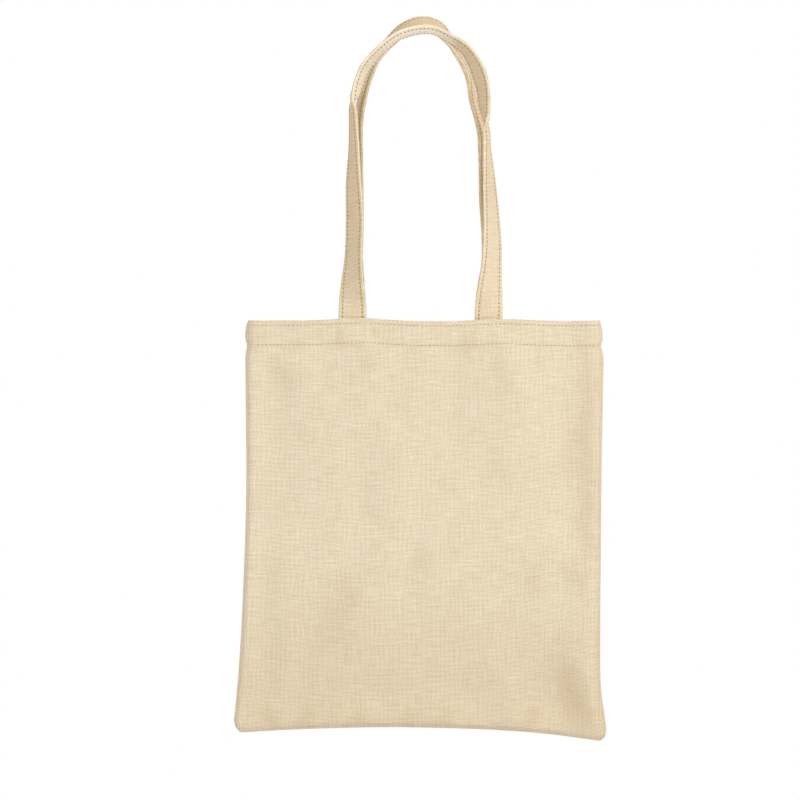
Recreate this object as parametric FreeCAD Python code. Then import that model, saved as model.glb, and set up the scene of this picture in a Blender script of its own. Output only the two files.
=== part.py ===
"""Canvas tote bag with two shoulder straps, hung by the straps.

Millimetres. +Z is up and the front panel faces -Y. The origin is the hook point, just under the
crown of the straps. The bag is two flat panels sewn together inside out along the sides and the
bottom, then turned. Each panel ends in a turned hem, and each strap is sewn behind one hem.
"""
import FreeCAD, Part
import math
import os

Vector = FreeCAD.Vector

# Cloth
CLOTH = 1.0                 # one ply of heavy canvas
THREAD = 0.5                # sewing thread, across
THREAD_RISE = 0.35          # how far a row of stitches stands out of the cloth

# Body
HEM_TOP = -286.5            # the mouth's edge, below the hook point
HEM_DEPTH = 25.0            # the band that the hem's fold thickens
HEM_FULLNESS = 0.5          # how far the hem stands out of the panel below it
HEM_ROWS = {"edge": 3.8, "lower": 24.0}     # rows of stitches, below the mouth's edge
HALF_DEPTH = 9.0            # outer face of a panel, from the middle plane
SEAM_GAP = 0.3              # from the middle plane to a panel's edge
MARGIN = 28.0               # strip over which a panel slopes back to its seam
HALF_WIDTH = 177.5
HEIGHT = 409.0
MOUTH_CUT = 10.0            # the outline starts this far above the mouth and is trimmed to it

# The outline, as (x, z): the bag flares a little towards a bottom edge that bows up in the middle
LEFT_SIDE = [(-176, HEM_TOP + MOUTH_CUT), (-178, -305), (-178, -365), (-177.5, -465),
             (-181, -565), (-184.5, -628), (-189.5, -684)]
LEFT_CORNER = (-187.0, -693.5)
BOTTOM = [(-178.5, -697), (-124, -694), (-44, -692), (26, -693), (76, -695), (126, -699),
          (171, -705)]
RIGHT_CORNER = (179.3, -702.6)
RIGHT_SIDE = [(182, -694), (177.5, -660), (176, -605), (177, -465), (178.5, -340), (178, -305),
              (177, HEM_TOP + MOUTH_CUT)]

# Seam allowances, inside the bag
ALLOWANCE = (4.0, 14.0)     # from and to this far inside the outline
ALLOWANCE_HALF = 0.9        # two plies, half their thickness
SEAM_ROW = (1.0, 1.8)       # the row of stitches that joins the panels
SEAM_ROW_HALF = 0.2
OVERLOCK = (11.0, 14.5)     # the thread wrapped over the raw edges
OVERLOCK_RISE = 0.4
SIDE_TOP_CLEAR = 1.5        # the side allowances stop this far below the mouth

# Straps
STRAP_WIDTH = 28.0
STRAP_THICK = 3.0
STRAP_ROW_INSET = 4.0       # rows of stitches, from each long edge
STRAP_X = {"left": -71.5, "right": 64.7}
TAIL_Y = (-7.0, -4.0)
TAIL_LENGTH = 28.0          # sewn behind the hem
TAIL_TOP_CLEAR = 0.5
HEM_FOLD_REACH = 162.0      # the hem's fold stops this far from the middle, short of the seams
SECTIONS_PER_STATION = 2

# Centre line of each strap from its left root to its right one, as (x, y, z, tilt). At a tilt of
# 90 degrees the strap faces the front, and at 0 it stands edge on, its near edge towards -Y.
FRONT_STRAP = [(-71.5, -5.5, -283.5, 90), (-71.5, -6.5, -268, 76), (-71.5, -9.5, -253, 59),
               (-70.4, -13.4, -222, 38), (-69.1, -14.8, -184, 35), (-69.8, -15.6, -150, 27),
               (-70.8, -15.9, -112, 14), (-71.4, -16, -80, 8), (-70.3, -16, -72, 9),
               (-69.3, -16, -65, 3), (-66.6, -16, -57, -6), (-64.6, -16, -50, -11),
               (-59.3, -16, -35, -16), (-52, -16, -25, -15), (-40.5, -16, -13.5, -11),
               (-24, -16, -1.5, -8), (-4, -16, 3.8, -7), (11, -16, 3, -7), (26, -16, -4.4, -14),
               (33.5, -16, -8.8, -17), (42, -16, -16, -20), (49.6, -16, -27.5, -25),
               (54, -16, -37, -28), (57.4, -16, -48.5, -27), (59.2, -16, -60, -23),
               (59.6, -16, -70, -18), (60, -16, -79, -9), (61, -16, -87, 2), (62, -15.9, -95, 9),
               (63.2, -15.8, -104, 10), (63.4, -15.7, -115, 11), (66.4, -15.2, -155, 21),
               (69, -14.2, -200, 33), (68.2, -12.2, -228, 45), (66.4, -9.5, -251, 59),
               (65, -6.5, -268, 76), (64.7, -5.5, -283.5, 90)]
BACK_STRAP = [(-71.5, 5.5, -283.5, 90), (-71.5, 6.5, -268, 76), (-71.5, 9.5, -253, 59),
              (-70.4, 13.4, -222, 38), (-69, 14.6, -184, 34), (-68.2, 14.9, -150, 25),
              (-67.3, 15, -115, 14), (-67, 15, -90, 10), (-63.8, 15, -66, 10),
              (-57.2, 15, -42, 10), (-48.5, 15, -22, 12), (-36, 15, -7, 17), (-20, 15, 7, 25),
              (-2, 15, 12.4, 30), (14, 15, 8, 28), (25.5, 15, -4.5, 16), (31.3, 15, -15, 5),
              (37.7, 15, -25, 2), (42.6, 15, -35, 2), (46.3, 15, -45, 3), (50.6, 15, -65, 8),
              (55.4, 15, -85, 6), (57.6, 15, -100, 4), (58, 15, -115, 5), (59.4, 15, -135, 11),
              (61, 14.8, -165, 24), (64.3, 14.3, -200, 33), (66, 12.2, -228, 45),
              (65.8, 9.5, -251, 59), (65, 6.5, -268, 76), (64.7, 5.5, -283.5, 90)]


def box(x, y, z):
    """A box from its lowest and highest x, y and z."""
    return Part.makeBox(x[1] - x[0], y[1] - y[0], z[1] - z[0], Vector(x[0], y[0], z[0]))


def inset_points(points, inset, y):
    """Points of the outline, drawn in towards the middle and the mouth by inset."""
    across = 1 - inset / HALF_WIDTH
    down = 1 - inset / HEIGHT
    return [Vector(x * across, y, HEM_TOP + (z - HEM_TOP) * down) for x, z in points]


def smooth_edge(points):
    """One smooth edge through the points."""
    curve = Part.BSplineCurve()
    curve.interpolate(points)
    return curve.toShape()


def side_edge(side, inset, y):
    return smooth_edge(inset_points(side, inset, y))


def outline(inset, y):
    """The bag's outline drawn in by inset, as a closed wire at depth y."""
    left = inset_points(LEFT_SIDE, inset, y)
    bottom = inset_points(BOTTOM, inset, y)
    right = inset_points(RIGHT_SIDE, inset, y)
    left_corner = inset_points([LEFT_CORNER], inset, y)[0]
    right_corner = inset_points([RIGHT_CORNER], inset, y)[0]
    edges = [smooth_edge(left), Part.Arc(left[-1], left_corner, bottom[0]).toShape(),
             smooth_edge(bottom), Part.Arc(bottom[-1], right_corner, right[0]).toShape(),
             smooth_edge(right), Part.makeLine(right[-1], left[0])]
    return Part.Wire(edges)


def dish(rim_y, face_y, base_y):
    """A solid tray: its rim follows the outline, and its face is drawn in by the margin."""
    wires = [outline(0, base_y), outline(0, rim_y), outline(MARGIN, face_y)]
    return Part.makeLoft(wires, True, True)


def front_hollow(shift=0.0):
    """The space inside the front panel, which runs on past the middle plane."""
    return dish(-SEAM_GAP + shift, -HALF_DEPTH + CLOTH + shift, HALF_DEPTH)


def front_hull(rise=0.0):
    """The front panel as if it were filled, with its outside raised by rise."""
    return dish(-SEAM_GAP - CLOTH - rise, -HALF_DEPTH - rise, -SEAM_GAP)


def level_band(bottom, top, reach=2 * HALF_WIDTH):
    """A box that takes in everything between two levels."""
    return box((-reach, reach), (-2 * HALF_DEPTH, 2 * HALF_DEPTH), (bottom, top))


def front_panel():
    """One ply of canvas, doubled into a slightly fuller band along the mouth."""
    sheet = front_hull().common(level_band(HEM_TOP - 2 * HEIGHT, HEM_TOP))
    band = front_hull(HEM_FULLNESS).common(level_band(HEM_TOP - HEM_DEPTH, HEM_TOP))
    return sheet.fuse(band).cut(front_hollow()).removeSplitter()


def front_hem_fold():
    """The hem's turned ply, against the inside of the panel."""
    ply = front_hollow().cut(front_hollow(CLOTH))
    band = level_band(HEM_TOP - HEM_DEPTH - CLOTH, HEM_TOP - THREAD, HEM_FOLD_REACH)
    return ply.common(band)


def front_hem_row(below):
    """A row of stitches along the hem's outside, this far below the mouth's edge."""
    surface = front_hull(HEM_FULLNESS + THREAD_RISE).cut(front_hull(HEM_FULLNESS))
    middle = HEM_TOP - below
    band = level_band(middle - THREAD / 2, middle + THREAD / 2, HALF_WIDTH - MARGIN / 2)
    return surface.common(band)


def front_tail(x):
    """The end of a strap, sewn flat behind the hem."""
    across = (x - STRAP_WIDTH / 2, x + STRAP_WIDTH / 2)
    return box(across, TAIL_Y, (HEM_TOP - TAIL_LENGTH, HEM_TOP - TAIL_TOP_CLEAR))


def to_back(shape):
    """The back half's copy of a front piece."""
    return shape.mirror(Vector(0, 0, 0), Vector(0, 1, 0))


def strip(points, insets, half):
    """A flat strip that follows one run of the outline, between two insets."""
    outer = inset_points(points, insets[0], -half)
    inner = inset_points(points, insets[1], -half)
    edges = [smooth_edge(outer), Part.makeLine(outer[-1], inner[-1]), smooth_edge(inner),
             Part.makeLine(inner[0], outer[0])]
    face = Part.Face(Part.Wire(Part.__sortEdges__(edges)))
    return face.extrude(Vector(0, 2 * half, 0))


def side_strip(points, insets, half):
    """A strip up one side, from just above the bottom seam's strip to just below the mouth."""
    lowest = min(z for x, z in BOTTOM)
    band = level_band(lowest + 2 * ALLOWANCE[1], HEM_TOP - SIDE_TOP_CLEAR)
    return strip(points, insets, half).common(band)


def overlock(make_strip, points):
    """Thread wrapped over an allowance's raw edges."""
    wrap = make_strip(points, OVERLOCK, ALLOWANCE_HALF + OVERLOCK_RISE)
    return wrap.cut(make_strip(points, ALLOWANCE, ALLOWANCE_HALF))


def catmull_rom(before, start, end, after, share):
    """A value on the smooth curve between start and end, with their neighbours' slopes."""
    slope_in = (end - before) / 2
    slope_out = (after - start) / 2
    square = share * share
    cube = square * share
    return ((2 * cube - 3 * square + 1) * start + (cube - 2 * square + share) * slope_in
            + (3 * square - 2 * cube) * end + (cube - square) * slope_out)


def station_at(stations, place):
    """(x, y, z, tilt) at a place along the stations, such as 2.5 between the third and fourth."""
    last = len(stations) - 1
    first = min(int(place), last - 1)
    picked = [stations[max(0, min(last, first + k))] for k in (-1, 0, 1, 2)]
    return [catmull_rom(*values, place - first) for values in zip(*picked)]


def strap_frame(stations, place):
    """The strap's centre, its direction towards the near edge, and its face's outward normal."""
    x, y, z, tilt = station_at(stations, place)
    step = 0.05
    last = len(stations) - 1
    ahead = station_at(stations, min(place + step, last))
    behind = station_at(stations, max(place - step, 0))
    along = (Vector(*ahead[:3]) - Vector(*behind[:3])).normalize()
    inward = Vector(0, 1, 0).cross(along).normalize()
    near = inward.cross(along).normalize()
    angle = math.radians(tilt)
    across = near * math.cos(angle) + inward * math.sin(angle)
    return Vector(x, y, z), across, across.cross(along)


def ribbon(stations, across_range, out_range):
    """A solid that follows the strap, between two distances across it and two out of its face."""
    wires = []
    count = (len(stations) - 1) * SECTIONS_PER_STATION
    for index in range(count + 1):
        centre, across, out = strap_frame(stations, index / SECTIONS_PER_STATION)
        corners = [(across_range[0], out_range[0]), (across_range[1], out_range[0]),
                   (across_range[1], out_range[1]), (across_range[0], out_range[1])]
        points = [centre + across * a + out * o for a, o in corners]
        wires.append(Part.makePolygon(points + points[:1]))
    return Part.makeLoft(wires, True, True)


def strap_loop(stations):
    return ribbon(stations, (-STRAP_WIDTH / 2, STRAP_WIDTH / 2),
                  (-STRAP_THICK / 2, STRAP_THICK / 2))


def strap_row(stations, side):
    """The stitches along one long edge, as they show on both faces of the strap."""
    middle = side * (STRAP_WIDTH / 2 - STRAP_ROW_INSET)
    across = (middle - THREAD / 2, middle + THREAD / 2)
    face = STRAP_THICK / 2
    rows = [ribbon(stations, across, (face, face + THREAD_RISE)),
            ribbon(stations, across, (-face - THREAD_RISE, -face))]
    return Part.makeCompound(rows)


def body_nodes():
    """The two panels with their hems, strap tails and rows of hem stitches."""
    front = {"panel": front_panel(), "hem_fold": front_hem_fold()}
    for row, below in HEM_ROWS.items():
        front["hem_" + row + "_stitch"] = front_hem_row(below)
    for side, x in STRAP_X.items():
        front[side + "_strap_tail"] = front_tail(x)
    nodes = {}
    for name, shape in front.items():
        nodes["front_" + name] = shape
        nodes["back_" + name] = to_back(shape)
    return nodes


def seam_nodes():
    """What the side and bottom seams hold inside the bag."""
    runs = {"left": (side_strip, LEFT_SIDE), "right": (side_strip, RIGHT_SIDE),
            "bottom": (strip, BOTTOM)}
    nodes = {}
    for name, (make_strip, points) in runs.items():
        nodes[name + "_seam_allowance"] = make_strip(points, ALLOWANCE, ALLOWANCE_HALF)
        nodes[name + "_seam_stitch"] = make_strip(points, SEAM_ROW, SEAM_ROW_HALF)
        nodes[name + "_overlock_thread"] = overlock(make_strip, points)
    return nodes


def strap_nodes():
    """The free length of each strap, with a row of stitches along each edge."""
    nodes = {}
    for name, stations in (("front", FRONT_STRAP), ("back", BACK_STRAP)):
        nodes[name + "_strap_loop"] = strap_loop(stations)
        nodes[name + "_strap_near_edge_stitch"] = strap_row(stations, 1)
        nodes[name + "_strap_far_edge_stitch"] = strap_row(stations, -1)
    return nodes


def main():
    os.makedirs("parts", exist_ok=True)
    nodes = {**body_nodes(), **seam_nodes(), **strap_nodes()}
    for name, shape in nodes.items():
        shape.exportStep("parts/" + name + ".step")
        bounds = shape.BoundBox
        print(f"{name}: {len(shape.Solids)} solid, {shape.Volume / 1000:.2f} cm3, valid"
              f" {shape.isValid()}, x {bounds.XMin:.1f} {bounds.XMax:.1f}, y {bounds.YMin:.1f}"
              f" {bounds.YMax:.1f}, z {bounds.ZMin:.1f} {bounds.ZMax:.1f}")


main()
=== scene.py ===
"""Looks of the canvas tote bag: Blender 4.5, metres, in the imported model's own frame.

The bag hangs upright, its front towards -Y. Every sheet of cloth is one mesh grid with a real
thickness: it starts at the hem's raw edge inside the mouth, turns over the mouth's edge and runs
down the outside to the bottom seam.
"""
import bpy
import math
import random
import numpy as np
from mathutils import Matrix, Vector, noise


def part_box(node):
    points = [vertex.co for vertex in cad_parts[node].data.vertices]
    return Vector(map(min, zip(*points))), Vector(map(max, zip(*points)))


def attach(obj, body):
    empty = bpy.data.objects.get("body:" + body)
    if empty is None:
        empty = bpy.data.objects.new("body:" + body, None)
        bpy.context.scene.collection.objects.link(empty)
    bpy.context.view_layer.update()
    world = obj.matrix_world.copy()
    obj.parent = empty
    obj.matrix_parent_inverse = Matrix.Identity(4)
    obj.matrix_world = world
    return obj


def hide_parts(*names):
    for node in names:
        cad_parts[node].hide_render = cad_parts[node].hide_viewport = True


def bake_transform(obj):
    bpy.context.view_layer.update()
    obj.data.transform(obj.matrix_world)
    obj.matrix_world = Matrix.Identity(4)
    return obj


MM = 0.001
SEED = 7

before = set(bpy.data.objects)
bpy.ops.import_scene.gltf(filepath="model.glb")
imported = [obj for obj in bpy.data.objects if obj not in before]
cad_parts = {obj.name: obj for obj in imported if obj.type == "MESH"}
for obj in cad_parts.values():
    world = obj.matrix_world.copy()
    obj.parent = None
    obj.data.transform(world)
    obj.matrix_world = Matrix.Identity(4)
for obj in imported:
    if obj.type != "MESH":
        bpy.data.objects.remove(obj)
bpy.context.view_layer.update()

# --- Sizes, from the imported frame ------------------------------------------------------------
FRONT_LOW, FRONT_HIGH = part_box("front_panel")
HEM_TOP = FRONT_HIGH.z
TAIL_BOXES = {"left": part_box("front_left_strap_tail"), "right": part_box("front_right_strap_tail")}
TAIL_X = {side: (low.x + high.x) / 2 for side, (low, high) in TAIL_BOXES.items()}
TAIL_BOTTOM = TAIL_BOXES["left"][0].z
STRAP_WIDTH = TAIL_BOXES["left"][1].x - TAIL_BOXES["left"][0].x
STRAP_THICK = TAIL_BOXES["left"][1].y - TAIL_BOXES["left"][0].y
STRAP_ROW = STRAP_WIDTH / 2 - 4 * MM

# --- Sizes of the cloth ------------------------------------------------------------------------
CLOTH = 1.0 * MM
FOLD_GAP = 0.5 * MM          # between the two plies of the hem
HEM_DEPTH = 25.0 * MM
HEM_RISE = 0.4 * MM          # the hem stands out of the panel below it
HEM_ROWS = (3.8 * MM, 24.0 * MM)
RIM_DEPTH = 0.8 * MM         # the panel's outer face at the seam, from the middle plane
FACE_DEPTH = 9.0 * MM        # and at its fullest
CELL = 2.6 * MM              # the grid's spacing on the panels
HEM_CELL = 1.3 * MM
STRAP_CELL = 2.4 * MM        # between the strap's cross-sections
PANEL_WIDTH = 355 * MM       # the mouth's, about, for counting the grid's columns
RIM_ROUNDING = 0.3           # how far a cut edge bulges, in thicknesses of the cloth
TAIL_RELIEF = 0.85 * MM      # how far a strap's sewn end lifts the hem over it
STRAP_ROOT_DEPTH = 5.5       # of the sewn ends' centre, in millimetres from the middle plane
EDGE_ON_PLUMP = 0.9          # how much the strap bunches where it turns edge on,
EDGE_ON_TILT = 6             # fading over about this many degrees of tilt
SEAM_X = 178 * MM            # the mouth opens between here, where the panels stay joined,
STITCH_PITCH = 3.9 * MM
STITCH_LENGTH = 2.5 * MM
THREAD_RADIUS = 0.3 * MM

# Fullness of a panel inwards from a seam, as shares of its depth: a quick rise over a short
# length, a slow one, then the ridge over the allowance and a valley, each with its place and width
QUICK_RISE, QUICK_LENGTH = 0.78, 1.6 * MM
SLOW_RISE = 0.22
RIDGE, RIDGE_PLACE, RIDGE_WIDTH = 0.16, 9 * MM, 9 * MM
VALLEY, VALLEY_PLACE, VALLEY_WIDTH = -0.20, 36 * MM, 17 * MM
# Uneven waves of the cloth: size across and down in metres, height in millimetres, noise offset
DRAPE_WAVES = [(0.042, 0.160, 1.7, 0), (0.021, 0.040, 0.35, 9.1)]

# The floor, and what the camera takes in, in metres
FLOOR_HALF, FLOOR_Z = 1.5, -1.15
PICTURE_WIDTH = 0.8
PICTURE_X, PICTURE_Z = -0.024, -0.365
CAMERA_DISTANCE = 12.0
SENSOR_WIDTH = 36.0          # in millimetres, as Blender has it
LIGHT_AIM = (0, 0, -0.35)
# The surround's strength, and the lights: name, place, size in metres and power in watts
LIGHT_ABOVE, LIGHT_BELOW = 0.82, 0.46
LIGHTS = [("key", (1.6, -1.35, 0.6), 0.8, 27), ("front", (-1.2, -2.1, 0.45), 1.4, 20),
          ("back", (1.0, 2.6, 0.4), 1.8, 25)]

# The outline, in millimetres: corner to corner along each side
LEFT_EDGE = [(-176, -286.5), (-177.6, -292), (-178.4, -300), (-177.8, -306), (-176.2, -310.5),
             (-178, -318), (-178.3, -330), (-178, -365), (-177.6, -465), (-181, -565),
             (-184.5, -628), (-188.3, -672), (-189.6, -686), (-187.4, -693.6)]
BOTTOM_EDGE = [(-187.4, -693.6), (-183.8, -696.4), (-178.5, -697), (-124, -694), (-44, -692),
               (26, -693), (76, -695), (126, -699), (171, -705), (176.5, -705),
               (180.3, -702.8)]
RIGHT_EDGE = [(176, -286.5), (177.6, -293), (178.4, -301), (178.1, -306), (176.8, -310.5),
              (178.8, -319), (179.3, -330), (178.6, -365), (177, -465), (176, -605),
              (176.6, -650), (180.4, -681), (182, -696), (180.3, -702.8)]
# How far the mouth's edge stands above its corners, as (x, height, half width)
MOUTH_WAVES = [(-62, 2.2, 34), (80, 1.3, 30), (5, -0.9, 40), (135, -0.5, 30)]

# Soft folds of the front, in millimetres: (x, z) of each end, half width, height.
# A negative height is a hollow.
FRONT_FOLDS = [((84, -300), (102, -372), 16, 3.0), ((102, -372), (84, -440), 18, 2.4),
               ((30, -300), (26, -410), 15, -2.2), ((-160, -325), (-143, -378), 14, -2.6),
               ((-143, -378), (-150, -445), 15, -2.2), ((-116, -325), (-130, -375), 14, 1.8),
               ((-64, -400), (-64, -495), 15, -1.3), ((-36, -390), (-36, -480), 17, 1.3),
               ((-14, -495), (-14, -565), 13, -1.5), ((8, -490), (9, -565), 13, 1.5),
               ((-32, -500), (-80, -615), 26, 2.4), ((-143, -505), (-138, -640), 14, 1.8),
               ((122, -503), (156, -532), 15, 2.6), ((116, -500), (124, -580), 13, 1.6),
               ((150, -600), (176, -695), 16, 4.0), ((118, -635), (140, -702), 17, -2.8),
               ((146, -330), (144, -520), 17, -1.2), ((-58, -305), (-48, -345), 11, 1.3),
               ((-170, -690), (-140, -640), 13, 1.5), ((-136, -690), (-118, -640), 12, -1.5),
               ((-88, -690), (-82, -640), 12, 1.3), ((-42, -690), (-40, -645), 12, -1.3),
               ((2, -690), (4, -650), 12, 1.3), ((44, -692), (44, -650), 12, -1.2),
               ((88, -694), (80, -650), 12, 1.3), ((60, -560), (66, -640), 18, 1.2)]
# Painted soft shadow, which the lights alone don't give: the same, with a strength from 0 to 1
FRONT_SHADES = [((-220, -630), (220, -630), 62, 0.6), ((-220, -705), (220, -705), 40, 0.7),
                ((138, -628), (160, -690), 14, 1.0), ((163, -310), (163, -520), 9, 0.75),
                ((177, -300), (177, -700), 5, 0.7), ((146, -385), (148, -440), 13, 0.45),
                ((-175, -292), (-164, -308), 12, 0.5),
                ((-84, -296), (-84, -312), 6, 0.7), ((44, -296), (42, -322), 6, 0.8),
                ((-60, -320), (-58, -336), 9, 0.5), ((73, -325), (75, -370), 10, 0.4),
                ((-138, -332), (-145, -350), 11, 0.5), ((108, -540), (112, -560), 9, 0.6),
                ((138, -532), (162, -548), 8, 0.7), ((-70, -545), (-98, -610), 18, 0.55),
                ((-152, -525), (-151, -555), 7, 0.4), ((-4, -512), (-4, -535), 7, 0.45),
                ((-155, -672), (-155, -690), 9, 0.7), ((-116, -672), (-116, -690), 9, 0.6),
                ((-66, -672), (-66, -690), 9, 0.6), ((-16, -672), (-16, -690), 8, 0.5),
                ((23, -672), (23, -690), 8, 0.5), ((108, -672), (108, -690), 9, 0.6)]
# Painted soft shadow on the back, the same way
BACK_SHADES = [((-220, -630), (220, -630), 62, 0.6), ((-220, -705), (220, -705), 40, 0.7),
               ((-164, -320), (-164, -560), 9, 0.5), ((-150, -620), (-168, -690), 14, 0.7),
               ((60, -330), (70, -400), 12, 0.4), ((-20, -520), (10, -600), 16, 0.4)]
BACK_FOLDS = [((-90, -310), (-120, -400), 18, 1.8), ((80, -310), (104, -390), 18, 1.7),
              ((-170, -690), (-120, -600), 15, 2.2), ((168, -695), (120, -610), 15, -2.0),
              ((-150, -340), (-152, -500), 16, -1.6), ((0, -420), (14, -600), 26, 1.2),
              ((-60, -560), (-30, -680), 18, -1.3), ((70, -480), (60, -620), 18, 1.1)]

# Centre line of each strap's free length, in millimetres: (x, y, z, tilt, curl, outer, inner).
# At a tilt of 90 degrees the strap faces front, and at 0 it is edge on. The near edge curls in by
# curl degrees. The last two are the painted shade on the outer and inner faces, and below 0 the
# painted light that makes that face paler.
FRONT_STRAP = [(-71.5, -5.5, -283.5, 90, 0, 0, 0), (-71.5, -6.5, -268, 76, 0, 0, 0),
               (-71.5, -9.5, -253, 59, 0, 0, 0), (-70.4, -13.4, -222, 38, 4, 0.1, 0),
               (-69.3, -14.8, -184, 37, 8, 0.15, 0), (-70.6, -15.6, -150, 30, 14, 0.15, 0),
               (-70.9, -15.9, -112, 15, 34, 0.15, 0), (-71.8, -16, -80, 9, 40, 0.15, -0.3),
               (-71.3, -16, -72, 10, 0, 0.1, -0.3), (-70.3, -16, -65, 3, -45, 0.1, -0.3),
               (-66.6, -16, -57, -6, -60, 0.2, -0.3), (-64.6, -16, -50, -11, -45, 0.2, -0.3),
               (-59.3, -16, -35, -16, -20, 0.2, -0.3), (-52, -16, -25, -15, -20, 0.2, -0.3),
               (-40.5, -16, -13.5, -11, -35, 0.2, -0.4), (-24, -16, -1.5, -8, -50, 0.2, -0.7),
               (-4, -16, 3.8, -7, -55, 0.2, -0.9), (11, -16, 3, -7, -50, 0.2, -0.8),
               (26, -16, -4.4, -14, -18, 0.2, -0.4), (33.5, -16, -8.8, -17, -14, 0.2, 0),
               (42, -16, -16, -20, -12, 0.2, 0.2), (49.6, -16, -27.5, -25, -10, 0.2, 0.2),
               (54, -16, -37, -28, -8, 0.2, 0.2), (57.4, -16, -48.5, -27, -10, 0.2, 0.2),
               (59.2, -16, -60, -23, -16, 0.2, 0.2), (59.6, -16, -70, -18, -28, 0.2, 0.2),
               (60, -16, -79, -9, -55, 0.1, 0.2), (61.4, -16, -87, 3, -45, 0.1, 0.2),
               (62.3, -15.9, -95, 11, 5, 0, 0.2), (63.2, -15.8, -104, 10, 12, 0, 0.2),
               (63.4, -15.7, -115, 12, 10, 0, 0.2), (65.9, -15.2, -155, 26, 8, 0, 0.2),
               (68.3, -14.2, -200, 37, 4, -0.1, 0), (67.7, -12.2, -228, 45, 2, -0.1, 0),
               (66, -9.5, -251, 59, 0, -0.1, 0), (65, -6.5, -268, 76, 0, 0, 0),
               (64.7, -5.5, -283.5, 90, 0, 0, 0)]
BACK_STRAP = [(-71.5, 5.5, -283.5, 90, 0, 0.1, 0.1), (-71.5, 6.5, -268, 76, 0, 0.2, 0.1),
              (-71.5, 9.5, -253, 59, 4, 0.3, 0.1), (-70.4, 13.4, -222, 38, 8, 0.35, 0.1),
              (-69, 14.6, -184, 34, 10, 0.35, 0.1), (-68.2, 14.9, -150, 25, 20, 0.35, 0.2),
              (-67.3, 15, -115, 14, 38, 0.35, 0.2), (-67, 15, -90, 10, 48, 0.35, 0.2),
              (-63.8, 15, -66, 10, 48, 0.35, 0.2), (-57.2, 15, -42, 10, 44, 0.35, 0.2),
              (-48.5, 15, -22, 12, 40, 0.35, 0.2), (-36, 15, -7, 17, 30, 0.35, 0.2),
              (-20, 15, 7, 25, 20, 0.35, 0.2), (-2, 15, 12.4, 30, 16, 0.35, 0.2),
              (14, 15, 8, 28, 20, 0.35, 0.2), (25.5, 15, -4.5, 16, 15, 0.35, 0.2),
              (31.3, 15, -15, 5, 15, 0.35, 0.2), (37.7, 15, -25, 2, 20, 0.35, 0.2),
              (42.6, 15, -35, 2, 20, 0.35, 0.2), (46.3, 15, -45, 3, 25, 0.35, 0.2),
              (50.6, 15, -65, 8, 40, 0.35, 0.2), (55.4, 15, -85, 6, 34, 0.35, 0.2),
              (57.6, 15, -100, 4, 24, 0.35, 0.2), (58, 15, -115, 5, 20, 0.35, 0.2),
              (59.4, 15, -135, 11, 16, 0.35, 0.2),
              (62.4, 14.8, -165, 24, 14, 0.35, 0.2), (66, 14.3, -200, 33, 6, 0.35, 0.1),
              (67.4, 12.2, -228, 42, 4, 0.35, 0.1), (65.8, 9.5, -251, 59, 0, 0.3, 0.1),
              (65, 6.5, -268, 76, 0, 0.2, 0.1), (64.7, 5.5, -283.5, 90, 0, 0.1, 0.1)]


# --- Curves ------------------------------------------------------------------------------------
def catmull_rom(points, places):
    """The smooth curve through the points, at places counted in points from the first."""
    points = np.array(points, float)
    last = len(points) - 1
    first = np.clip(np.floor(places).astype(int), 0, last - 1)
    share = (places - first)[:, None]
    before, start, end, after = [points[np.clip(first + k, 0, last)] for k in (-1, 0, 1, 2)]
    slope_in = (end - before) / 2
    slope_out = (after - start) / 2
    square, cube = share ** 2, share ** 3
    return ((2 * cube - 3 * square + 1) * start + (cube - 2 * square + share) * slope_in
            + (3 * square - 2 * cube) * end + (cube - square) * slope_out)


def even_places(points, dims, fine=24):
    """The curve's places and their running length, for spacing points evenly along it."""
    places = np.linspace(0, len(points) - 1, (len(points) - 1) * fine + 1)
    line = catmull_rom(points, places)[:, :dims]
    steps = np.linalg.norm(np.diff(line, axis=0), axis=1)
    return places, np.concatenate([[0], np.cumsum(steps)])


def along_curve(points, shares, dims=2):
    """Points of the curve at these shares of its length."""
    places, run = even_places(points, dims)
    return catmull_rom(points, np.interp(shares * run[-1], run, places))


def smooth_step(x):
    x = np.clip(x, 0, 1)
    return x * x * (3 - 2 * x)


def bump(x, width):
    return np.exp(-(x / width) ** 2)


# --- Meshes ------------------------------------------------------------------------------------
def mesh_object(name, verts, faces, uvs=None):
    """A smooth-shaded mesh object; uvs holds one (u, v) for each vertex."""
    mesh = bpy.data.meshes.new(name)
    mesh.from_pydata([tuple(v) for v in verts], [], [tuple(int(i) for i in f) for f in faces])
    if uvs is not None:
        layer = mesh.uv_layers.new(name="cloth")
        index = np.zeros(len(mesh.loops), np.int32)
        mesh.loops.foreach_get("vertex_index", index)
        layer.data.foreach_set("uv", np.asarray(uvs, np.float32)[index].ravel())
    mesh.polygons.foreach_set("use_smooth", [True] * len(mesh.polygons))
    mesh.update()
    made = bpy.data.objects.new(name, mesh)
    bpy.context.scene.collection.objects.link(made)
    return made


def set_shade(piece, tone):
    """Stores the painted shade at each vertex for its material; below 0 it is painted light."""
    shade = piece.data.attributes.new("shade", "FLOAT", "POINT")
    shade.data.foreach_set("value", np.asarray(tone, np.float32).ravel())


def grid_faces(rows, columns, offset=0, flip=False, wrap=False):
    """Quads over a grid of vertices stored row by row; wrap joins the last column to the first."""
    reach = columns if wrap else columns - 1
    r, c = np.meshgrid(np.arange(rows - 1), np.arange(reach), indexing="ij")
    after = (c + 1) % columns
    quads = np.stack([r * columns + c, r * columns + after, (r + 1) * columns + after,
                      (r + 1) * columns + c], -1).reshape(-1, 4) + offset
    return quads[:, ::-1] if flip else quads


def grid_normals(points):
    """Unit normals of a grid of points, across columns then rows."""
    across = np.gradient(points, axis=1)
    down = np.gradient(points, axis=0)
    normals = np.cross(across, down)
    return normals / np.linalg.norm(normals, axis=2, keepdims=True)


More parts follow.
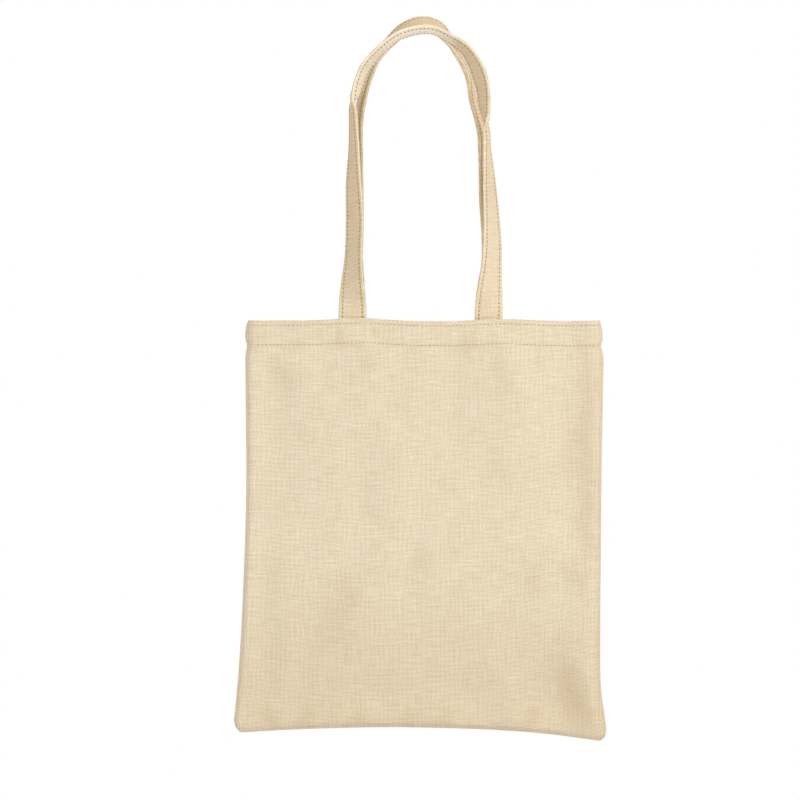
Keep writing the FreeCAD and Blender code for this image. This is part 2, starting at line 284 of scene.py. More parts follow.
def cloth_normals(middle, outward):
    """Unit normals of a sheet's middle surface, turned to the bag's outside."""
    normals = grid_normals(middle)
    seen = normals[middle.shape[0] // 2, middle.shape[1] // 2, 1]
    return normals if seen * outward > 0 else -normals


def cloth_object(name, middle, normals, uvs, shades, joined=None):
    """A sheet of cloth with a rounded rim, from the grid of its middle surface.

    joined is a column where the sheet goes on in the next piece, and so ends square there.
    """
    rows, columns = middle.shape[:2]
    count = rows * columns
    border = ([(0, c) for c in range(columns)] + [(r, columns - 1) for r in range(1, rows)]
              + [(rows - 1, c) for c in range(columns - 2, -1, -1)]
              + [(r, 0) for r in range(rows - 2, 0, -1)])
    inside = [(min(max(r, 1), rows - 2), min(max(c, 1), columns - 2)) for r, c in border]
    edge = np.array([middle[a] for a in border])
    away = edge - np.array([middle[a] for a in inside])
    on_join = np.array([c == joined for r, c in border])
    away[on_join] = 0
    away /= np.maximum(np.linalg.norm(away, axis=1, keepdims=True), 1e-9)
    rim = edge + away * CLOTH * RIM_ROUNDING
    verts = np.concatenate([(middle + normals * CLOTH / 2).reshape(-1, 3),
                            (middle - normals * CLOTH / 2).reshape(-1, 3), rim])
    around = np.array([r * columns + c for r, c in border])
    rim_index = 2 * count + np.arange(len(border))
    after = np.roll(np.arange(len(border)), -1)
    outer_rim = np.stack([around, rim_index, rim_index[after], around[after]], -1)
    inner_rim = np.stack([rim_index, around + count, around[after] + count,
                          rim_index[after]], -1)
    facing = np.cross(middle[0, 1] - middle[0, 0], middle[1, 0] - middle[0, 0])
    flip = np.dot(facing, normals[0, 0]) < 0
    faces = [grid_faces(rows, columns, 0, flip), grid_faces(rows, columns, count, not flip)]
    rims = [outer_rim[:, ::-1], inner_rim[:, ::-1]] if flip else [outer_rim, inner_rim]
    flat_uvs = uvs.reshape(-1, 2)
    all_uvs = np.concatenate([flat_uvs, flat_uvs, flat_uvs[around]])
    piece = mesh_object(name, verts, np.concatenate(faces + rims), all_uvs)
    # Painted soft shadow from the shades' strokes, for the material
    tone = strokes(middle[..., 0], middle[..., 2], shades).ravel()
    set_shade(piece, np.concatenate([tone, tone, tone[around]]))
    outer = normals.reshape(-1, 3)
    shading = np.concatenate([outer, -outer, away + 1e-6 * outer[around]])
    piece.data.normals_split_custom_set_from_vertices(shading.tolist())
    return piece


# --- The panels --------------------------------------------------------------------------------
def outline_point(u, v):
    """(x, z) in metres of a place on the flat bag, u from left to right and v from the mouth."""
    left = along_curve(LEFT_EDGE, v) * MM
    right = along_curve(RIGHT_EDGE, v) * MM
    bottom = along_curve(BOTTOM_EDGE, u) * MM
    first, last = np.array(LEFT_EDGE[0]) * MM, np.array(RIGHT_EDGE[0]) * MM
    top = first + (last - first) * u[:, None]
    top[:, 1] += sum(h * MM * bump(top[:, 0] / MM - x, w) for x, h, w in MOUTH_WAVES)
    low_left, low_right = left[-1], right[-1]
    U, V = u[None, :, None], v[:, None, None]
    sides = (1 - U) * left[:, None] + U * right[:, None]
    ends = (1 - V) * top[None] + V * bottom[None]
    corners = ((1 - U) * (1 - V) * first + U * (1 - V) * last
               + (1 - U) * V * low_left + U * V * low_right)
    return sides + ends - corners


def edge_profile(distance, reach):
    """Fullness from a seam inwards: a quick rise, the ridge of the allowance, a valley."""
    quick = QUICK_RISE * (1 - np.exp(-distance / QUICK_LENGTH))
    slow = SLOW_RISE * smooth_step(distance / reach)
    ridge = RIDGE * bump(distance - RIDGE_PLACE, RIDGE_WIDTH)
    valley = VALLEY * bump(distance - VALLEY_PLACE, VALLEY_WIDTH)
    return quick + slow + ridge + valley


def strokes(x, z, marks):
    """The sum of soft strokes at points in metres, each (start, end, half width, strength)."""
    total = np.zeros_like(x)
    for (x0, z0), (x1, z1), width, strength in marks:
        start = np.array([x0, z0]) * MM
        along = np.array([x1, z1]) * MM - start
        length = np.linalg.norm(along)
        share = ((x - start[0]) * along[0] + (z - start[1]) * along[1]) / length ** 2
        aside = ((x - start[0]) * along[1] - (z - start[1]) * along[0]) / length
        ends = smooth_step((share + 0.25) / 0.5) * smooth_step((1.25 - share) / 0.5)
        total += strength * bump(aside, width * MM) * ends
    return total


def drape_noise(x, z, salt):
    """Broad uneven waves, longer down the cloth than across it."""
    out = np.zeros(x.size)
    for index, (a, b) in enumerate(zip(x.ravel(), z.ravel())):
        for across, down, height, offset in DRAPE_WAVES:
            out[index] += height * noise.noise(Vector((a / across, b / down, salt + offset)))
    return out.reshape(x.shape) * MM


def over_strap_ends(x):
    """1 where a strap's sewn end lies under the hem, fading to 0 just beside it."""
    return sum(smooth_step((STRAP_WIDTH / 2 + 1 * MM - np.abs(x - middle)) / (2.4 * MM))
               for middle in TAIL_X.values())


def panel_depth(x, z, across, below, above, folds, salt):
    """How far the panel's outer face stands from the middle plane."""
    reach = (62 + 78 * smooth_step(below / (150 * MM))) * MM
    full = edge_profile(across, reach) * edge_profile(above, 130 * MM)
    depth = RIM_DEPTH + (FACE_DEPTH - RIM_DEPTH) * full
    inner = smooth_step(across / (14 * MM)) * smooth_step(above / (10 * MM))
    body = smooth_step((below - HEM_DEPTH * 0.5) / (14 * MM))
    depth = depth + inner * (0.25 + 0.75 * body) * MM * strokes(x, z, folds)
    depth = depth + inner * (0.35 + 0.65 * body) * drape_noise(x, z, salt)
    pucker = np.sin(z / (4.1 * MM) + 2 * np.sin(z / (17 * MM)))
    depth = depth + 0.16 * MM * pucker * bump(across - 5 * MM, 5 * MM)
    hem = 1 - smooth_step((below - HEM_DEPTH + 0.6 * MM) / (1.8 * MM))
    depth = depth + HEM_RISE * hem
    for row in HEM_ROWS:
        depth = depth - 0.2 * MM * bump(below - row, 1.1 * MM)
    tall = smooth_step((HEM_TOP - TAIL_BOTTOM + 1 * MM - below) / (3 * MM))
    return depth + TAIL_RELIEF * over_strap_ends(x) * tall


def panel_grid(side, folds, salt):
    """The middle surface of one panel's cloth and its (u, v) in metres. side is -1 in front."""
    height = HEM_TOP - (LEFT_EDGE[-1][1] + RIGHT_EDGE[-1][1]) / 2 * MM
    columns = 2 * round(PANEL_WIDTH / CELL / 2) + 1
    u = np.linspace(0, 1, columns)
    hem_rows = round((HEM_DEPTH + 3 * MM) / HEM_CELL)
    body_rows = round((height - HEM_DEPTH - 3 * MM) / CELL)
    split = (HEM_DEPTH + 3 * MM) / height
    v = np.concatenate([np.linspace(0, split, hem_rows, endpoint=False),
                        np.linspace(split, 1, body_rows)])
    flat = outline_point(u, v)
    x, z = flat[..., 0], flat[..., 1]
    widths = x[:, -1:] - x[:, :1]
    across = np.minimum(u[None, :], 1 - u[None, :]) * widths
    below = v[:, None] * height + 0 * x
    above = (1 - v[:, None]) * height + 0 * x
    depth = panel_depth(x, z, across, below, above, folds, salt)
    middle = np.stack([x, side * (depth - CLOTH / 2), z], -1)
    uvs = np.stack([x, -below], -1)
    return middle, uvs, below


def with_hem_fold(middle, uvs, below, side):
    """Adds the turned ply: over the mouth's edge and down the inside to the hem's raw edge."""
    radius = (CLOTH + FOLD_GAP) / 2
    top = middle[0]
    crown = []
    for angle in np.radians([150, 120, 90, 60, 30]):
        row = top.copy()
        row[:, 1] -= side * radius * (1 + math.cos(angle))
        row[:, 2] += radius * math.sin(angle)
        crown.append(row)
    rows_down = np.where(below[:, 0] <= HEM_DEPTH + 0.2 * MM)[0]
    inner = []
    for r in rows_down:
        row = middle[r].copy()
        steady = smooth_step(below[r, 0] / (2 * MM))
        raised = TAIL_RELIEF * over_strap_ends(row[:, 0])
        row[:, 1] -= side * (2 * radius + 0.3 * raised * steady)
        inner.append(row)
    room = 1 - smooth_step(np.abs(middle[0, :, 0]) / SEAM_X * 12 - 10.9)
    fold = np.array(inner[::-1])
    crown_rows = np.array(crown[::-1])
    for rows in (fold, crown_rows):
        depth_now = rows[..., 1] * side
        rows[..., 1] = side * np.maximum(depth_now, 0.55 * MM + 0.3 * MM * room[None, :])
    fold_v = uvs[0, 0, 1] + below[rows_down, 0][::-1] + 2 * radius
    crown_v = uvs[0, 0, 1] + np.linspace(2 * radius, 0.4 * radius, len(crown))
    extra = np.concatenate([fold_v, crown_v])
    extra_uv = np.stack([np.repeat(middle[None, 0, :, 0], len(extra), 0),
                         np.repeat(extra[:, None], middle.shape[1], 1)], -1)
    whole = np.concatenate([fold, crown_rows, middle])
    return whole, np.concatenate([extra_uv, uvs])


# --- Stitches ----------------------------------------------------------------------------------
def stitch_object(name, places):
    """Short stitches: each place is (centre, direction along the row, direction out)."""
    rng = random.Random(SEED)
    sides, rings = 6, 5
    verts, faces = [], []
    for centre, along, out in places:
        aside = np.cross(along, out)
        length = STITCH_LENGTH * rng.uniform(0.9, 1.06)
        skew = rng.uniform(-0.07, 0.07)
        offset = len(verts)
        for k in range(rings):
            t = k / (rings - 1) * 2 - 1
            radius = THREAD_RADIUS * (1 - 0.35 * t * t)
            lift = THREAD_RADIUS * (0.75 - 1.5 * t ** 4)
            spine = centre + along * length / 2 * t + out * lift + aside * skew * length * t
            for s in range(sides):
                angle = 2 * math.pi * s / sides
                verts.append(spine + radius * (math.cos(angle) * aside + math.sin(angle) * out))
        faces.extend(grid_faces(rings, sides, offset, wrap=True).tolist())
        faces.append([offset + s for s in range(sides)][::-1])
        faces.append([offset + (rings - 1) * sides + s for s in range(sides)])
    uvs = [(v[0], v[2]) for v in verts]
    return mesh_object(name, verts, faces, uvs)


def row_places(line, outs, run):
    """Stitch places at even steps of run, the cloth's own coordinate along a line of points."""
    first = math.ceil(run[0] / STITCH_PITCH)
    last = math.floor(run[-1] / STITCH_PITCH)
    middles = (np.arange(first, last) + 0.5) * STITCH_PITCH

    def at(values, where):
        return np.stack([np.interp(where, run, values[:, k]) for k in range(3)], -1)
    points = at(line, middles)
    tangents = at(line, middles + STITCH_PITCH / 3) - at(line, middles - STITCH_PITCH / 3)
    tangents /= np.linalg.norm(tangents, axis=1, keepdims=True)
    normals = at(outs, middles)
    normals -= tangents * np.sum(normals * tangents, axis=1, keepdims=True)
    normals /= np.linalg.norm(normals, axis=1, keepdims=True)
    return list(zip(points, tangents, normals))


def hem_rows(middle, below, side):
    """Places of both rows of hem stitches, outside the bag."""
    normals = cloth_normals(middle, side)
    places = []
    for row in HEM_ROWS:
        index = np.interp(row, below[:, 0], np.arange(len(below)))
        low = int(index)
        share = index - low
        line = (middle[low] * (1 - share) + middle[low + 1] * share)[2:-2]
        outs = normals[low, 2:-2]
        places.extend(row_places(line + outs * CLOTH / 2, outs, line[:, 0]))
    return places


# --- Straps ------------------------------------------------------------------------------------
QUILT_DEPTH, QUILT_WIDTH = 0.38 * MM, 0.9 * MM     # the groove under a row of stitches
PADDING = 0.2 * MM                                 # how far the strap swells between its rows
FLATNESS = 0.94                                    # of its faces, as a share of its thickness
MARGIN_PALER = 0.6                                 # how much of its painted shade and painted light a margin loses


def strap_section():
    """The strap's cross-section as (across, out), with a quilted groove at each row."""
    half, thick, row = STRAP_WIDTH / 2, STRAP_THICK / 2, STRAP_ROW
    flats = np.linspace(-half + thick, half - thick, 23)

    def face(a):
        dip = QUILT_DEPTH * (bump(a - row, QUILT_WIDTH) + bump(a + row, QUILT_WIDTH))
        soft = PADDING * np.clip(1 - (a / row) ** 2, 0, 1)
        return thick * FLATNESS + soft - dip
    front = [(a, face(a)) for a in flats]
    arc = np.radians(np.arange(60, -61, -30))
    near = [(half - thick + thick * math.cos(t), thick * FLATNESS * math.sin(t)) for t in arc]
    back = [(a, -face(a)) for a in flats[::-1]]
    far = [(-half + thick - thick * math.cos(t), -thick * FLATNESS * math.sin(t)) for t in arc]
    return np.array(front + near + back + far)


def strap_path(stations, side):
    """Centres, across and out directions, curl, plumpness, and painted shade and light along the
    whole strap.
    """
    roots = []
    for x in (TAIL_X["left"] / MM, TAIL_X["right"] / MM):
        ends = (TAIL_BOTTOM / MM, TAIL_BOTTOM / MM + 9, TAIL_BOTTOM / MM + 18, HEM_TOP / MM - 1)
        roots.append([(x, side * STRAP_ROOT_DEPTH, z, 90, 0, 0, 0) for z in ends])
    points = roots[0] + list(stations) + roots[1][::-1]
    places, run = even_places(points, 3)
    count = round(run[-1] * MM / STRAP_CELL)
    even = np.interp(np.linspace(0, run[-1], count), run, places)
    found = catmull_rom(points, even)
    centre = found[:, :3] * MM
    tangent = np.gradient(centre, axis=0)
    tangent /= np.linalg.norm(tangent, axis=1, keepdims=True)
    inward = np.cross(np.array([0, 1, 0]), tangent)
    inward /= np.linalg.norm(inward, axis=1, keepdims=True)
    near = np.cross(inward, tangent)
    tilt = np.radians(found[:, 3])[:, None]
    across = near * np.cos(tilt) + inward * np.sin(tilt)
    out = np.cross(across, tangent)
    plump = 1 + EDGE_ON_PLUMP * bump(found[:, 3], EDGE_ON_TILT)
    return centre, across, out, np.radians(found[:, 4]), plump, found[:, 5:]


def curled(a, o, path):
    """Points at a across the strap and o out from its middle, its near edge curled in."""
    centre, across, out, curl, plump, _ = path
    o = o * plump[:, None]
    bend = curl[:, None] * np.maximum(a / (STRAP_WIDTH / 2), 0) ** 2
    aside = a * (1 - bend ** 2 / 10) + np.sin(bend) * o
    lift = np.cos(bend) * o - a * (bend / 3 - bend ** 3 / 42)
    return centre[:, None] + across[:, None] * aside[..., None] + out[:, None] * lift[..., None]


def strap_object(name, stations, side):
    """One strap, from sewn end to sewn end, and the places of its stitches."""
    path = strap_path(stations, side)
    section = strap_section()
    verts = curled(section[None, :, 0], section[None, :, 1], path)
    rows, columns = verts.shape[:2]
    faces = grid_faces(rows, columns, wrap=True).tolist()
    faces.append(list(range(columns)))
    faces.append([(rows - 1) * columns + c for c in range(columns)][::-1])
    steps = np.linalg.norm(np.diff(path[0], axis=0), axis=1)
    run = np.concatenate([[0], np.cumsum(steps)])
    uvs = np.stack([np.repeat(section[None, :, 0], rows, 0),
                    np.repeat(run[:, None], columns, 1)], -1)
    strap = mesh_object(name, verts.reshape(-1, 3), faces, uvs.reshape(-1, 2))
    # Painted shade and painted light on each face from the stations, less of either on the margins
    margin = smooth_step((np.abs(section[:, 0]) - STRAP_ROW) / (2 * MM))
    outside = smooth_step(section[:, 1] / STRAP_THICK + 0.5)
    tone = path[5][:, :1] * outside + path[5][:, 1:] * (1 - outside)
    set_shade(strap, tone * (1 - MARGIN_PALER * margin))
    places = []
    for a in (-STRAP_ROW, STRAP_ROW):
        for face in (-1, 1):
            depth = STRAP_THICK / 2 - 0.3 * MM
            pair = curled(np.array([[a, a]]), np.array([[face * depth, face * 2 * depth]]), path)
            places.extend(row_places(pair[:, 0], (pair[:, 1] - pair[:, 0]) * 1000, run))
    return strap, places


# --- Materials ---------------------------------------------------------------------------------
class Nodes:
    """Short calls for building one material's node tree."""

    def __init__(self, name):
        self.material = bpy.data.materials.new(name)
        self.material.use_nodes = True
        self.tree = self.material.node_tree
        self.shader = self.tree.nodes["Principled BSDF"]

    def add(self, kind, **settings):
        node = self.tree.nodes.new(kind)
        for key, value in settings.items():
            setattr(node, key, value)
        return node

    def link(self, source, target):
        self.tree.links.new(source, target)

    def put(self, socket, value):
        if isinstance(value, bpy.types.NodeSocket):
            self.link(value, socket)
        else:
            socket.default_value = value

    def math(self, operation, a, b=None, c=None):
        node = self.add("ShaderNodeMath", operation=operation)
        for socket, value in zip(node.inputs, (a, b, c)):
            if value is not None:
                self.put(socket, value)
        return node.outputs[0]

    def mix(self, share, a, b):
        """Colours a and b mixed: a Mix node's colour sockets are inputs 6 and 7 and output 2."""
        node = self.add("ShaderNodeMix", data_type="RGBA")
        self.put(node.inputs["Factor"], share)
        self.put(node.inputs[6], a)
        self.put(node.inputs[7], b)
        return node.outputs[2]

    def noise(self, vector, scale, detail=2.0):
        node = self.add("ShaderNodeTexNoise")
        self.put(node.inputs["Vector"], vector)
        node.inputs["Scale"].default_value = scale
        node.inputs["Detail"].default_value = detail
        return node.outputs["Fac"]

    def scaled(self, vector, factors):
        node = self.add("ShaderNodeVectorMath", operation="MULTIPLY")
        self.put(node.inputs[0], vector)
        node.inputs[1].default_value = factors
        return node.outputs[0]


def linear(red, green, blue):
    """A linear colour from one given on the usual 0 to 255 display scale."""
    def one(value):
        value = value / 255
        return value / 12.92 if value <= 0.04045 else ((value + 0.055) / 1.055) ** 2.4
    return (one(red), one(green), one(blue), 1.0)


YARN_PITCH = 1.27 * MM
YARN_WANDER = 1.6                # how far the yarns stray, in yarns
# The light colour's share: at rest, then how much it moves with the weft and warp yarns, with the
# blotches, with the yarn on top, and with the weave's height to a power
BASE_TONE = 0.10
WEFT_TONE, WARP_TONE = 0.40, 0.28
BLOTCH_TONE = 0.09
TOP_YARN_TONE = 0.45
# painted shade: the weave's height darkens the colour in the hollows between the yarns
HEIGHT_TONE, HEIGHT_POWER = 0.92, 1.3
FLECK_LIMIT, FLECK_SHARE = 0.86, 0.3
FLECK = linear(168, 128, 78)
GROOVE_SHADE = linear(158, 116, 66)    # painted shade in the needle-marked groove under a row of stitches
PAINTED_LIGHT_COLOUR = linear(249, 243, 228)     # painted light: the pale colour painted on strap margins and on faces

PAINTED_LIGHT_SHARE = 0.85              # of the painted-light colour, where a face's shade is -1
MARGIN_FADE = 3 * MM             # from a strap's row out to its margin, where the highlight is painted
MARGIN_HEIGHTS = (-0.18, -0.08)  # in metres: the painted highlight on the margins grows from here to here, by these shares of the painted-light colour
MARGIN_SHARES = (0.08, 0.15)     # by these shares of the worn tone
STRAP_DASH = (1.3 * MM, 0.6)     # reach and depth of the painted shade under a strap's stitches
HEM_DASH = (1.1 * MM, 0.3)       # and under the hem's
RELIEF_STRENGTH, RELIEF_HEIGHT = 0.6, 0.35 * MM


def thread_profile(n, coordinate):
    """The rounded height of parallel threads, from 0 in the gaps to 1 on top."""
    centred = n.math("SUBTRACT", n.math("FRACT", coordinate), 0.5)
    square = n.math("MULTIPLY", n.math("MULTIPLY", centred, centred), 4.0)
    return n.math("SUBTRACT", 1.0, square)


def weave_height(n, u, v):
    """Plain weave: warp and weft take turns on top, in a checker of rounded floats."""
    turn = n.math("MULTIPLY", n.math("SINE", n.math("MULTIPLY", u, math.pi)),
                  n.math("SINE", n.math("MULTIPLY", v, math.pi)))
    warp_up = n.math("ADD", n.math("MULTIPLY", turn, 0.5), 0.5)
    weft_up = n.math("SUBTRACT", 1.0, warp_up)
    warp = n.math("MULTIPLY", thread_profile(n, u), warp_up)
    weft = n.math("MULTIPLY", thread_profile(n, v), weft_up)
    return n.math("MAXIMUM", warp, weft), warp_up


def stitch_dashes(n, aside, along, row, width, depth):
    """depth of painted shade under the stitches of a row, fading to 0 at width from it and between
    stitches.
    """
    away = n.math("ABSOLUTE", n.math("SUBTRACT", aside, row))
    near = n.math("MAXIMUM", n.math("MULTIPLY_ADD", away, -1 / width, 1.0), 0.0)
    phase = n.math("MULTIPLY", n.math("FRACT", n.math("MULTIPLY", along, 1 / STITCH_PITCH)),
                   math.pi)
    dash = n.math("POWER", n.math("SINE", phase), 1.5)
    return n.math("MULTIPLY", n.math("MULTIPLY", near, dash), depth)


def canvas_material(name, light, dark, painted_shade, rows_across=None, rows_along=()):
    """Unbleached heavy canvas: weave, uneven yarns, soft blotches, flecks and sewn rows.

    rows_across is the rows' distance from the middle of a strap; rows_along is how far below the
    mouth's edge the rows of a panel are. painted_shade is the colour and share of the painted shade
    at full strength.
    """
    n = Nodes(name)
    place = n.add("ShaderNodeUVMap", uv_map="cloth").outputs[0]
    split = n.add("ShaderNodeSeparateXYZ")
    n.link(place, split.inputs[0])
    wander = n.math("MULTIPLY", n.math("SUBTRACT", n.noise(place, 60.0, 1.0), 0.5),
                    YARN_WANDER)
    u = n.math("ADD", n.math("MULTIPLY", split.outputs[0], 1 / YARN_PITCH), wander)
    v = n.math("ADD", n.math("MULTIPLY", split.outputs[1], 1 / YARN_PITCH), wander)
    height, warp_up = weave_height(n, u, v)
    weft_yarns = n.noise(n.scaled(place, (50, 700, 1)), 1.0)
    warp_yarns = n.noise(n.scaled(place, (700, 40, 1)), 1.0)
    blotches = n.noise(place, 30.0, 3.0)
    tone = BASE_TONE
    for uneven, strength in ((weft_yarns, WEFT_TONE), (warp_yarns, WARP_TONE),
                             (blotches, BLOTCH_TONE), (warp_up, TOP_YARN_TONE)):
        tone = n.math("MULTIPLY_ADD", n.math("SUBTRACT", uneven, 0.5), strength, tone)
    # Painted shade in the weave's hollows: the colour darkens where the weave is low
    share = n.math("MULTIPLY_ADD", n.math("POWER", height, HEIGHT_POWER), HEIGHT_TONE, tone)
    share = n.math("MAXIMUM", n.math("MINIMUM", share, 1.0), 0.0)
    colour = n.mix(share, dark, light)
    fleck_noise = n.noise(n.scaled(place, (520, 260, 1)), 1.0, 0.0)
    flecks = n.math("GREATER_THAN", fleck_noise, FLECK_LIMIT)
    colour = n.mix(n.math("MULTIPLY", flecks, FLECK_SHARE), colour, FLECK)
    # Painted light: where the shade attribute is below 0 the colour turns towards the pale
    # painted-light colour
    shade = n.add("ShaderNodeAttribute", attribute_name="shade").outputs["Fac"]
    colour = n.mix(n.math("MULTIPLY", shade, -PAINTED_LIGHT_SHARE), colour, PAINTED_LIGHT_COLOUR)
    # On a strap, a painted highlight on the margins, stronger higher up, and painted shade in dashes
    # under the stitches
    if rows_across:
        middle = n.math("ABSOLUTE", split.outputs[0])
        edge = n.math("MULTIPLY", n.math("SUBTRACT", middle, rows_across), 1 / MARGIN_FADE)
        edge = n.math("MAXIMUM", n.math("MINIMUM", edge, 1.0), 0.0)
        margin_highlight = n.add("ShaderNodeMapRange")
        spot = n.add("ShaderNodeSeparateXYZ")
        n.link(n.add("ShaderNodeTexCoord").outputs["Object"], spot.inputs[0])
        n.link(spot.outputs["Z"], margin_highlight.inputs["Value"])
        margin_highlight.inputs["From Min"].default_value = MARGIN_HEIGHTS[0]
        margin_highlight.inputs["From Max"].default_value = MARGIN_HEIGHTS[1]
        margin_highlight.inputs["To Min"].default_value = MARGIN_SHARES[0]
        margin_highlight.inputs["To Max"].default_value = MARGIN_SHARES[1]
        colour = n.mix(n.math("MULTIPLY", edge, margin_highlight.outputs[0]), colour, PAINTED_LIGHT_COLOUR)
        dashes = stitch_dashes(n, middle, split.outputs[1], rows_across, *STRAP_DASH)
        colour = n.mix(dashes, colour, GROOVE_SHADE)
    # Painted shade in dashes under the hem's stitches
    for row in rows_along:
        dashes = stitch_dashes(n, split.outputs[1], split.outputs[0], -row, *HEM_DASH)
        colour = n.mix(dashes, colour, GROOVE_SHADE)
    # Painted shade: by the shade attribute, towards the painted-shade colour
    colour = n.mix(n.math("MULTIPLY", shade, painted_shade[1]), colour, painted_shade[0])
    n.link(colour, n.shader.inputs["Base Color"])
    relief = n.add("ShaderNodeBump")
    relief.inputs["Strength"].default_value = RELIEF_STRENGTH
    relief.inputs["Distance"].default_value = RELIEF_HEIGHT
    n.link(height, relief.inputs["Height"])
    n.link(relief.outputs[0], n.shader.inputs["Normal"])
    n.shader.inputs["Roughness"].default_value = 0.92
    n.shader.inputs["Specular IOR Level"].default_value = 0.12
    n.shader.inputs["Sheen Weight"].default_value = 0.1
    n.shader.inputs["Sheen Roughness"].default_value = 0.6
    return n.material


def thread_material(name, light, dark):
    """Spun thread: two plies twisted together, matt and a little uneven."""
    n = Nodes(name)
    place = n.add("ShaderNodeTexCoord").outputs["Object"]
    wave = n.add("ShaderNodeTexWave")
    wave.bands_direction = "DIAGONAL"
    wave.inputs["Scale"].default_value = 620.0
    wave.inputs["Distortion"].default_value = 1.5
    n.link(place, wave.inputs["Vector"])
    uneven = n.noise(place, 160.0)
    share = n.math("MULTIPLY", n.math("ADD", wave.outputs["Fac"], uneven), 0.5)
    n.link(n.mix(share, dark, light), n.shader.inputs["Base Color"])
    n.shader.inputs["Roughness"].default_value = 0.8
    n.shader.inputs["Specular IOR Level"].default_value = 0.2
    return n.material


# --- The whole bag -----------------------------------------------------------------------------
def dress(piece, material):
    piece.data.materials.clear()
    piece.data.materials.append(material)
    return piece


def make_front(canvas, thread):
    """The front panel in two halves, split down its middle."""
    middle, uvs, below = panel_grid(-1, FRONT_FOLDS, 3.7)
    whole, whole_uvs = with_hem_fold(middle, uvs, below, -1)
    normals = cloth_normals(whole, -1)
    centre = whole.shape[1] // 2
    stitches = hem_rows(middle, below, -1)
    for side, columns, joined, sign in (("left", slice(0, centre + 1), centre, -1),
                                        ("right", slice(centre, None), 0, 1)):
        half = cloth_object("front_panel_" + side, whole[:, columns], normals[:, columns],
                            whole_uvs[:, columns], FRONT_SHADES, joined)
        dress(half, canvas)
        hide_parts("front_panel", "front_hem_fold")
        rows = stitch_object("front_hem_stitches_" + side,
                             [p for p in stitches if p[0][0] * sign >= 0])
        dress(rows, thread)
        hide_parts("front_hem_edge_stitch", "front_hem_lower_stitch")
        for piece in (half, rows):
            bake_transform(piece)


def make_back(canvas, thread):
    middle, uvs, below = panel_grid(1, BACK_FOLDS, 21.3)
    whole, whole_uvs = with_hem_fold(middle, uvs, below, 1)
    cloth = cloth_object("back_panel_cloth", whole, cloth_normals(whole, 1), whole_uvs,
                         BACK_SHADES)
    panel = dress(cloth, canvas)
    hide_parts("back_panel", "back_hem_fold")
    rows = dress(stitch_object("back_hem_stitches", hem_rows(middle, below, 1)), thread)
    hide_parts("back_hem_edge_stitch", "back_hem_lower_stitch")
    for piece in (panel, rows):
        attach(piece, "bag")


def make_strap(name, stations, side, canvas, thread):
    """One strap and its stitches."""
    strap, places = strap_object(name + "_strap", stations, side)
    rows = stitch_object(name + "_strap_stitches", places)
    dress(strap, canvas)
    dress(rows, thread)
    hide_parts(name + "_strap_loop", name + "_left_strap_tail",
                name + "_right_strap_tail")
    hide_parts(name + "_strap_near_edge_stitch", name + "_strap_far_edge_stitch")
    for piece in (strap, rows):
        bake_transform(piece)


def make_world():
    """A white surround for the camera; it lights the bag more from above than from below."""
    world = bpy.data.worlds.new("studio")
    bpy.context.scene.world = world
    world.use_nodes = True
    tree = world.node_tree
    direction = tree.nodes.new("ShaderNodeTexCoord")
    split = tree.nodes.new("ShaderNodeSeparateXYZ")
    tree.links.new(direction.outputs["Generated"], split.inputs[0])
    level = tree.nodes.new("ShaderNodeMapRange")
    tree.links.new(split.outputs["Z"], level.inputs["Value"])
    level.inputs["From Min"].default_value = -1.0
    level.inputs["To Min"].default_value = LIGHT_BELOW
    level.inputs["To Max"].default_value = LIGHT_ABOVE
    ray = tree.nodes.new("ShaderNodeLightPath")
    strength = tree.nodes.new("ShaderNodeMix")
    tree.links.new(ray.outputs["Is Camera Ray"], strength.inputs["Factor"])
    tree.links.new(level.outputs[0], strength.inputs["A"])
    strength.inputs["B"].default_value = 1.0
    surround = tree.nodes["Background"]
    surround.inputs["Color"].default_value = (1, 1, 1, 1)
    tree.links.new(strength.outputs[0], surround.inputs["Strength"])


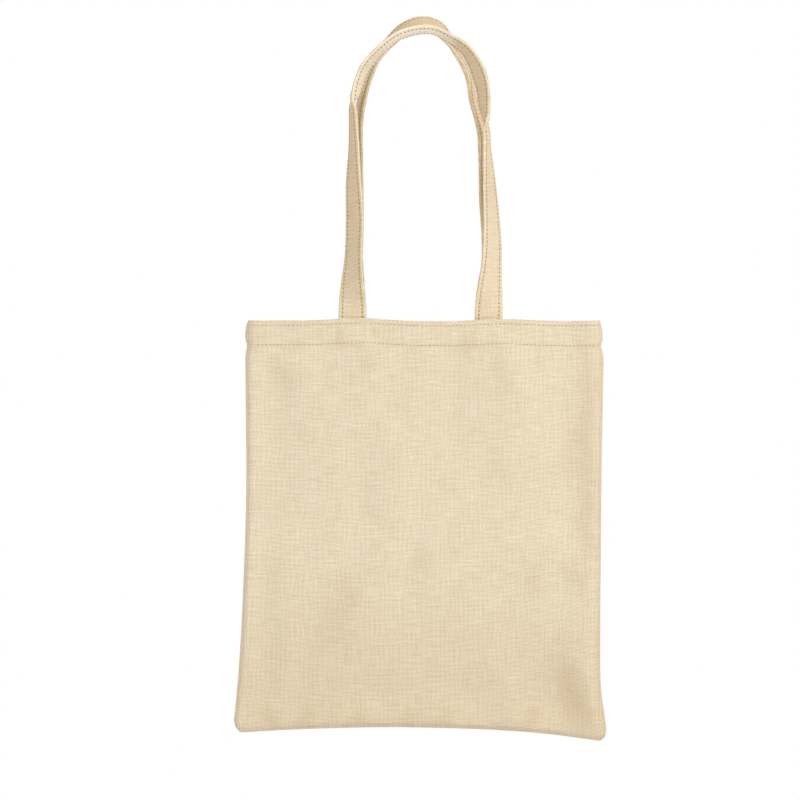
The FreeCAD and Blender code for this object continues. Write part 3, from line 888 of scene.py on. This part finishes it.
def make_stage():
    """A pale floor below the hanging bag, and soft lights in front, at the sides and behind."""
    corners = [(x * FLOOR_HALF, y * FLOOR_HALF, FLOOR_Z)
               for x, y in ((-1, -1), (1, -1), (1, 1), (-1, 1))]
    floor = mesh_object("floor", corners, [(0, 1, 2, 3)])
    pale = Nodes("floor_white")
    pale.shader.inputs["Base Color"].default_value = (0.9, 0.9, 0.9, 1)
    floor.data.materials.append(pale.material)
    for name, place, size, power in LIGHTS:
        light = bpy.data.lights.new(name, "AREA")
        light.size = size
        light.energy = power
        lamp = bpy.data.objects.new(name, light)
        lamp.location = place
        aim = Vector(LIGHT_AIM) - Vector(place)
        lamp.rotation_euler = aim.to_track_quat("-Z", "Y").to_euler()
        bpy.context.scene.collection.objects.link(lamp)


def make_camera():
    """A long lens square to the bag, with its picture's width measured at the front panel."""
    camera = bpy.data.cameras.new("camera")
    camera.sensor_width = SENSOR_WIDTH
    camera.lens = SENSOR_WIDTH * CAMERA_DISTANCE / PICTURE_WIDTH
    camera.clip_end = 80
    eye = bpy.data.objects.new("camera", camera)
    eye.location = (PICTURE_X, -CAMERA_DISTANCE + FRONT_LOW.y, PICTURE_Z)
    eye.rotation_euler = (math.pi / 2, 0, 0)
    bpy.context.scene.collection.objects.link(eye)
    bpy.context.scene.camera = eye
    bpy.context.scene.view_settings.view_transform = "Standard"


def main():
    make_camera()
    make_world()
    make_stage()
    # Each canvas's last argument is its painted shade: the colour, and its share at full shade
    canvas = canvas_material("canvas", linear(244, 233, 210), linear(160, 137, 98),
                             (linear(168, 134, 82), 0.19), rows_along=HEM_ROWS)
    webbing = canvas_material("strap_canvas", linear(247, 234, 206), linear(160, 130, 84),
                              (linear(196, 152, 88), 0.75), rows_across=STRAP_ROW)
    thread = thread_material("thread", linear(204, 166, 108), linear(160, 120, 68))
    make_front(canvas, thread)
    make_back(canvas, thread)
    make_strap("front", FRONT_STRAP, -1, webbing, thread)
    make_strap("back", BACK_STRAP, 1, webbing, thread)
    for node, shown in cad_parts.items():
        if not shown.hide_render:
            is_thread = "stitch" in node or "thread" in node
            shown.data.materials.clear()
            shown.data.materials.append(thread if is_thread else canvas)


main()
